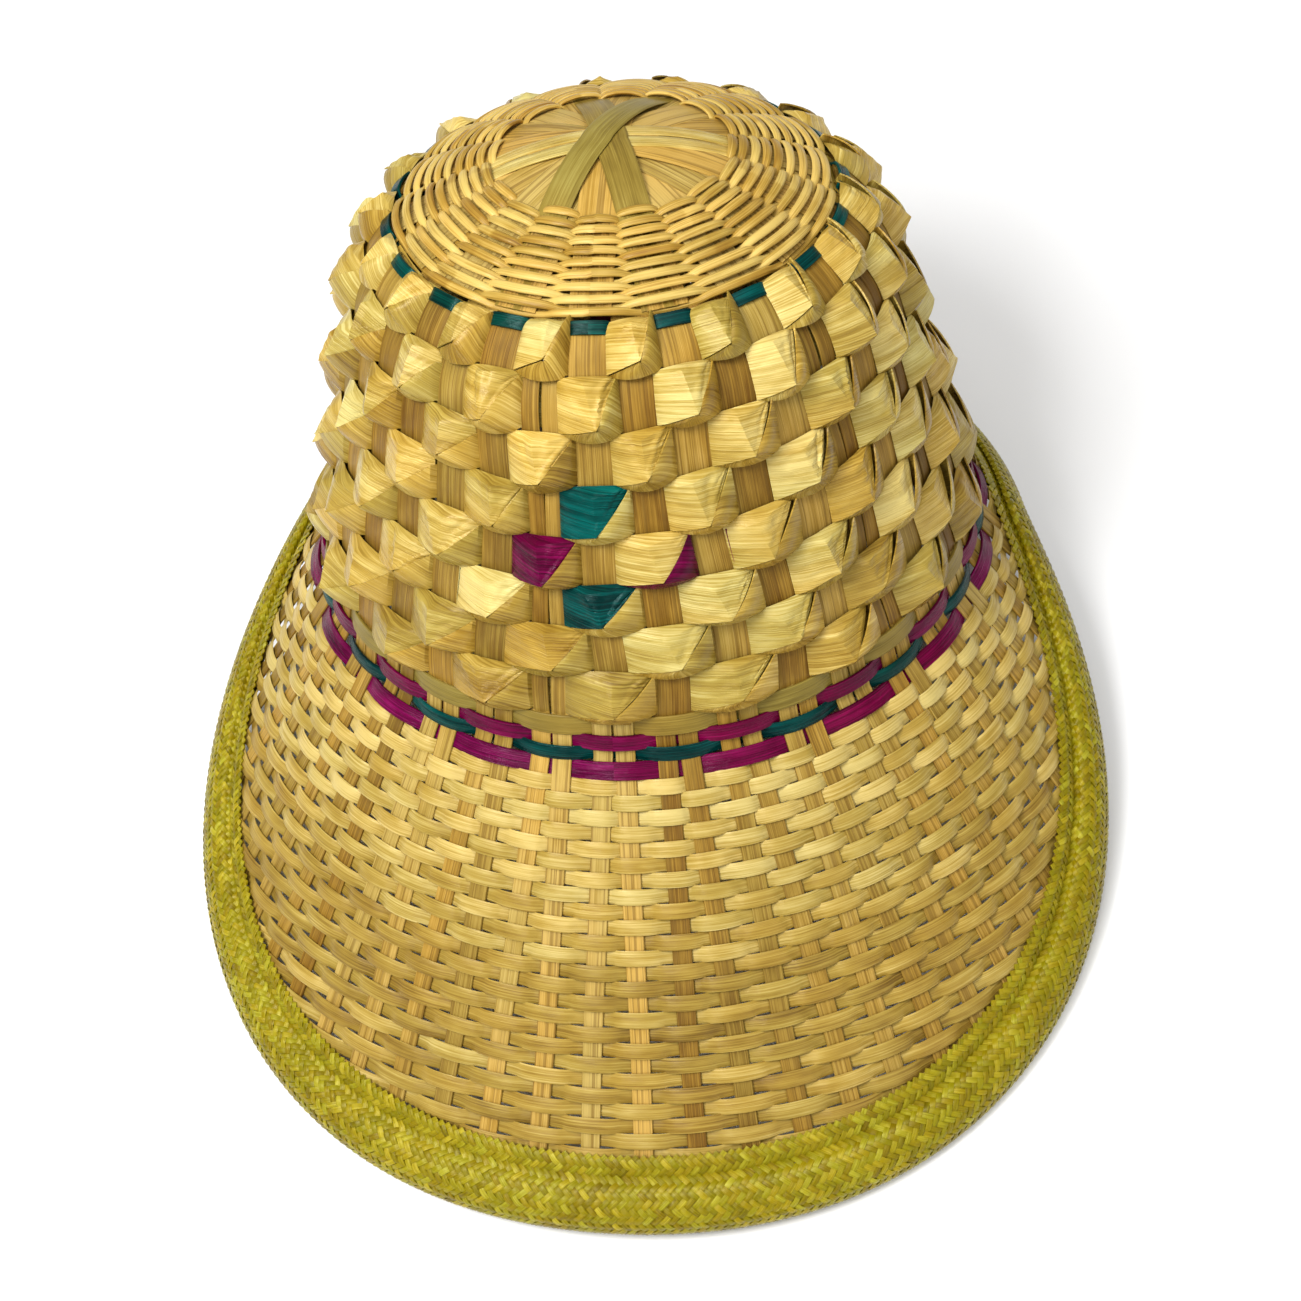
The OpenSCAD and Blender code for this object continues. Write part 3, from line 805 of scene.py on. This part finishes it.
def lid_crossing():
    """Nine splints crossed at the middle, and the three laid over them"""
    net = Net()
    for order, angle in enumerate((20, 160, 40, 100, 60, 120, 140, 0, 80)):
        lid_splint(net, angle, 0.24 * order, LID_SPLINT_W, tone=rng.uniform(0.6, 1.0))
    make_piece("lid_splints_crossed", net, SPLINT, "splint", "lid_splints")
    net = Net()
    for side in (-1, 1):
        lid_splint(net, 98, 2.3, 4.6, tone=0.7, shift=2.6 * side + 1, ends=LID_OPEN_R + 8)
    make_piece("cross_pair_laid", net, STRAW, "straw", "cross_splint_pair")
    net = Net()
    lid_splint(net, 17, 2.6, 8.6, tone=0.5, shift=0.9)
    make_piece("cross_right_laid", net, OLIVE, "olive", "cross_splint_right")
    net = Net()
    lid_splint(net, -20, 3.2, 8.0, bend=-0.8, tone=0.6, shift=-1.8)
    make_piece("cross_left_laid", net, OLIVE, "olive", "cross_splint_left")


def lid_rows():
    """The thin rows round the lid, in pairs whose two rows cover alternate splints, and
    the dyed row round its edge. Each thin row wavers, and its tone changes as it goes"""
    turn = ring_turn(4 * STEP, 24)
    points = np.arange(len(turn))
    inner = LID_OPEN_R - 2.5 * np.cos(np.radians(turn))
    outer = LID_R - 0.7
    for pair in range(1, LID_ROWS // 2 + 1):
        net = Net()
        for row in (2 * pair - 1, 2 * pair):
            place = (row - 0.5) / LID_ROWS
            bends = np.append(rng.uniform(-1, 1, 18), 0)
            wander = 0.32 * np.interp(points, np.arange(0, len(turn) + 1, 12), bends)
            r = inner + (outer - inner) * place + wander
            tone = rng.uniform(0.55, 0.8) + 0.14 * np.repeat(rng.uniform(-1, 1, 9), 24)
            ring_row(net, lid_d(r), 2 * STEP * (row % 2), 4 * STEP, 1.0, 1.1, 1.1, tone, samples=24,
                     section=ROUND, swell=0.26 - 0.12 * place, flat=0.5)
        make_piece(f"lid_pair_{pair}_woven", net, LID_WEAVER, "straw", f"lid_pair_{pair}")
    net = Net()
    ring_row(net, CROWN_L - 1.7, 0, 2 * STEP, 1.7, 0.8, 0.9, 0.5, samples=24, flat=0.35)
    make_piece("lid_edge_woven", net, TEAL, "teal", "lid_edge_row")


# ---------------------------------------------------------------- the braided tape

def tape_profile(width):
    """The folded tape's section as 60 points (u, n): a lip and a crease at its inner
    edge, then a roll over the reed and back underneath"""
    lip_u = np.array([0.0, 2.5, 5.0, 6.4])
    lip_n = np.array([1.4, 1.8, 1.3, 0.8])
    roll_u = width - np.array([12.6, 9.6, 6.0, 2.8, 0.6, 0.0, 0.7, 3.0, 6.8, 13.0])
    roll_n = np.array([2.9, 3.9, 4.0, 3.1, 1.4, 0.0, -1.5, -2.7, -2.9, -2.0])
    u = np.concatenate([lip_u, roll_u])
    n = np.concatenate([lip_n, roll_n])
    place = np.linspace(0, 1, len(u))
    fine = np.linspace(0, 1, 60)
    return np.interp(fine, place, u), np.interp(fine, place, n)


def tape_surface():
    """The tape's total length and depth, and a function that places a point x along
    its loop, y across its section and n out of it"""
    turn = np.linspace(-180, 180, 1441)
    edge = tape_point(turn, tape_width(turn) * 0.6, 0.0)
    length = np.concatenate([[0], np.cumsum(np.linalg.norm(np.diff(edge, axis=0), axis=1))])
    profiles = [tape_profile(float(w)) for w in tape_width(turn)]
    table_u = np.array([p[0] for p in profiles])
    table_n = np.array([p[1] for p in profiles])
    slope_u = np.gradient(table_u, axis=1)
    slope_n = np.gradient(table_n, axis=1)
    steps = np.hypot(np.diff(table_u[720]), np.diff(table_n[720]))
    run = np.concatenate([[0], np.cumsum(steps)])

    def place(x, y, n):
        a = np.interp(x % length[-1], length, turn)
        row = (a + 180) * 4
        low = np.clip(row.astype(int), 0, len(turn) - 2)
        column = np.interp(y, run, np.arange(len(run), dtype=float))
        left = np.clip(column.astype(int), 0, len(run) - 2)
        across, down = column - left, row - low

        def look(table):
            one = table[low, left] * (1 - across) + table[low, left + 1] * across
            two = table[low + 1, left] * (1 - across) + table[low + 1, left + 1] * across
            return one * (1 - down) + two * down

        du, dn = look(slope_u), look(slope_n)
        size = np.hypot(du, dn)
        return tape_point(a, look(table_u) - n * dn / size, look(table_n) + n * du / size)

    return length[-1], run[-1], place


def tape():
    """The braid: strands of two families that cross under and over, in four pieces"""
    total, deep, place = tape_surface()
    spacing = total / STRANDS
    y = np.linspace(0, deep, int(deep / 0.62))
    rows = np.cos(math.pi / 2 * (2 * (y - deep / 2) / spacing - 0.5))
    wave = np.sign(rows) * np.abs(rows) ** 0.7
    ease = np.clip(np.minimum(y, deep - y) / 1.2, 0.15, 1)
    names = ("tape_front", "tape_right", "tape_back", "tape_left")
    nets = [Net() for _ in names]
    for m in range(STRANDS):
        part = int((m / STRANDS * 4 + 2.5) % 4)
        for family in (1, -1):
            wander = 0.18 * np.interp(y, np.linspace(0, deep, 9), rng.uniform(-1, 1, 9))
            x = m * spacing + family * (y - deep / 2) + wander
            level = -0.3 + family * wave * TAPE_WAVE * ease
            centre = place(x, y, level)
            out = place(x, y, level + 1) - centre
            half = spacing / 2 / math.sqrt(2) * rng.uniform(0.92, 1.04)
            nets[part].strip(centre, out, half, 0.45, rng.uniform(0.25, 0.8), STRAND)
    for name, net in zip(names, nets):
        make_piece(name, net, TAPE, "tape", "edge_tape", crease=60)


# ---------------------------------------------------------------- camera, floor and lights

SENSOR = 36.0
LENS = 52.575


def camera():
    """The camera's place and turn in the crown's frame, in mm and degrees"""
    place = Vector((67.3, -409.6, 359.7)) * MM
    yaw, pitch, roll = (math.radians(v) for v in (-9.87, 45.11, -6.6))
    ahead = Vector((math.sin(yaw) * math.cos(pitch), math.cos(yaw) * math.cos(pitch), -math.sin(pitch)))
    level = Vector((math.cos(yaw), -math.sin(yaw), 0))
    rise = level.cross(ahead)
    right = math.cos(roll) * level + math.sin(roll) * rise
    up = -math.sin(roll) * level + math.cos(roll) * rise
    turn = Matrix((right, up, -ahead)).transposed().to_4x4()
    data = bpy.data.cameras.new("camera")
    data.sensor_width = SENSOR
    data.lens = LENS
    shot = bpy.data.objects.new("camera", data)
    shot.matrix_world = SEAT @ Matrix.Translation(place) @ turn
    bpy.context.scene.collection.objects.link(shot)
    bpy.context.scene.camera = shot


def floor():
    """A white ground 12 m square"""
    mesh = bpy.data.meshes.new("floor")
    corners = [(-6, -6, 0), (6, -6, 0), (6, 6, 0), (-6, 6, 0)]
    mesh.from_pydata(corners, [], [(0, 1, 2, 3)])
    ground = bpy.data.objects.new("floor", mesh)
    bpy.context.scene.collection.objects.link(ground)
    material = bpy.data.materials.new("floor_white")
    material.use_nodes = True
    shader = material.node_tree.nodes["Principled BSDF"]
    shader.inputs["Base Color"].default_value = (0.92, 0.92, 0.92, 1)
    shader.inputs["Roughness"].default_value = 0.9
    mesh.materials.append(material)


def area_light(name, place, size, power):
    """A square light, aimed at a point inside the crown"""
    data = bpy.data.lights.new(name, "AREA")
    data.size = size
    data.energy = power
    lamp = bpy.data.objects.new(name, data)
    lamp.location = place
    lamp.rotation_euler = (Vector((0, 0, 0.08)) - Vector(place)).to_track_quat("-Z", "Y").to_euler()
    bpy.context.scene.collection.objects.link(lamp)


def lights():
    """A pale sky, a small key and front light, a broad one above and a fill"""
    world = bpy.data.worlds.new("studio")
    world.use_nodes = True
    sky = world.node_tree.nodes["Background"]
    sky.inputs["Color"].default_value = (1.0, 0.99, 0.97, 1)
    sky.inputs["Strength"].default_value = 0.25
    bpy.context.scene.world = world
    area_light("key", (-0.31, -0.20, 0.80), 0.28, 5.6)
    area_light("overhead", (0.1, 0.1, 1.6), 1.4, 14.5)
    area_light("fill", (0.9, -0.8, 0.7), 0.8, 2.2)
    area_light("front", (-0.22, -0.9, 0.80), 0.22, 2.6)
    bpy.context.scene.view_settings.view_transform = "Standard"


def reed():
    """The CAD reed inside the tape keeps its shape and takes the splint material"""
    materials = frame["nodes"]["edge_reed"].data.materials
    materials.clear()
    materials.append(SPLINT)


camera()
floor()
lights()
crown_stakes()
brim_stakes()
knots()
bands()
brim_rows()
lid_crossing()
lid_rows()
tape()
reed()
